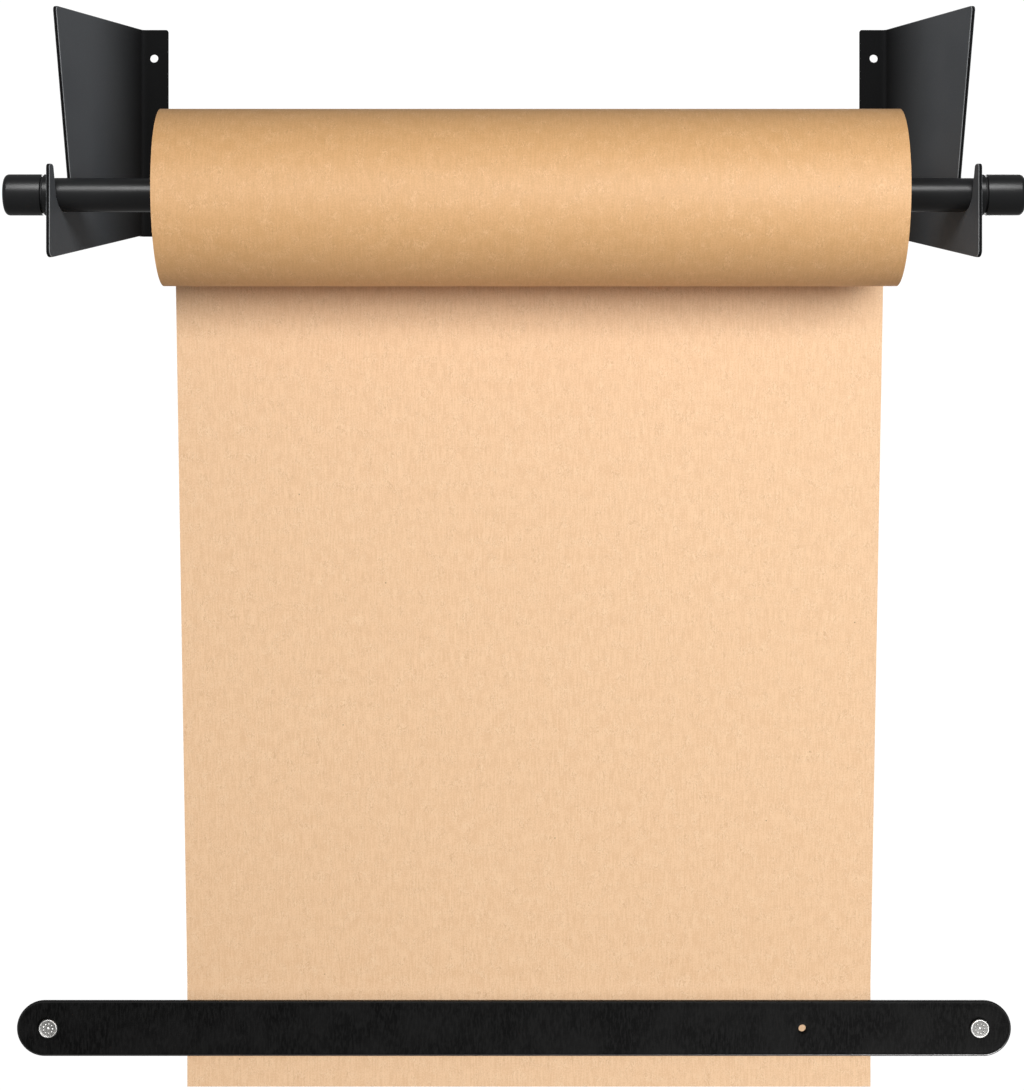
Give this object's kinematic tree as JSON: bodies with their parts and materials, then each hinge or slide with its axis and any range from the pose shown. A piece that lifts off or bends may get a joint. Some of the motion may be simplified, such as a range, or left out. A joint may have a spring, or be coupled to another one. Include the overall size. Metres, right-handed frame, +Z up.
{
  "type": "wall-mounted wrapping paper holder and cutter",
  "caption": "Wall holder for a roll of kraft wrapping paper: folded steel brackets with open hooks, lift-out rod, and a leather strap to tear the paper against.",
  "frame": {"origin": "middle of the four fixing holes, on the wall plane that the bracket flanges lie on", "axes": "+X along the rod to the viewer's right, +Z up, +Y into the wall, so the holder stands out along -Y"},
  "size_m": [0.662, 0.1985, 0.7065],
  "materials": {
    "bracket_coat": "fine satin black powder coat",
    "rod_coat": "satin black powder coat",
    "washer_black": "dead black nylon",
    "zinc_steel": "bright zinc plated",
    "kraft_paper": "uncoated brown kraft",
    "core_board": "wound grey-brown board",
    "black_leather": "matte black bridle leather",
    "nickel": "satin nickel plate"
  },
  "bodies": {
    "wall_frame": {"left_bracket": "bracket_coat", "right_bracket": "bracket_coat", "wall_studs": "nickel", "stud_screws": "zinc_steel", "paper_sheet": "kraft_paper"},
    "rod": {"rod_tube": "rod_coat", "left_rod_plug": "zinc_steel", "right_rod_plug": "zinc_steel", "left_collar": "rod_coat", "right_collar": "rod_coat", "left_knob_stud": "zinc_steel", "right_knob_stud": "zinc_steel"},
    "roll": {"paper_core": "core_board", "paper_roll": "kraft_paper"},
    "left_washer": {"left_washer": "washer_black"},
    "right_washer": {"right_washer": "washer_black"},
    "left_knob": {"left_knob": "rod_coat"},
    "right_knob": {"right_knob": "rod_coat"},
    "strap": {"strap": "black_leather", "snap_caps": "nickel", "snap_sockets": "nickel"}
  },
  "joints": [
    {"name": "rod_lift", "type": "slide", "parent": "wall_frame", "child": "rod", "axis": [0, -0.1908, 0.9816], "range_m": [0, 0.045]},
    {"name": "roll_spin", "type": "hinge", "parent": "rod", "child": "roll", "pos_m": [0.01, -0.119, -0.0594], "axis": [1, 0, 0], "continuous": true},
    {"name": "strap_pull", "type": "slide", "parent": "wall_frame", "child": "strap", "axis": [0, -1, 0], "range_m": [0, 0.03]},
    {"name": "left_knob_travel", "type": "slide", "parent": "rod", "child": "left_washer", "axis": [-1, 0, 0], "range_m": [0, 0.0151]},
    {"name": "left_knob_turn", "type": "hinge", "parent": "left_washer", "child": "left_knob", "pos_m": [-0.3, -0.119, -0.0575], "axis": [-1, 0, 0], "range_deg": [0, 4320]},
    {"name": "right_knob_travel", "type": "slide", "parent": "rod", "child": "right_washer", "axis": [1, 0, 0], "range_m": [0, 0.0151]},
    {"name": "right_knob_turn", "type": "hinge", "parent": "right_washer", "child": "right_knob", "pos_m": [0.3, -0.119, -0.0575], "axis": [1, 0, 0], "range_deg": [0, 4320]}
  ],
  "couplings": [
    {"joint": "left_knob_travel", "follows": "left_knob_turn", "m_per_rad": 0.00019894},
    {"joint": "right_knob_travel", "follows": "right_knob_turn", "m_per_rad": 0.00019894}
  ]
}
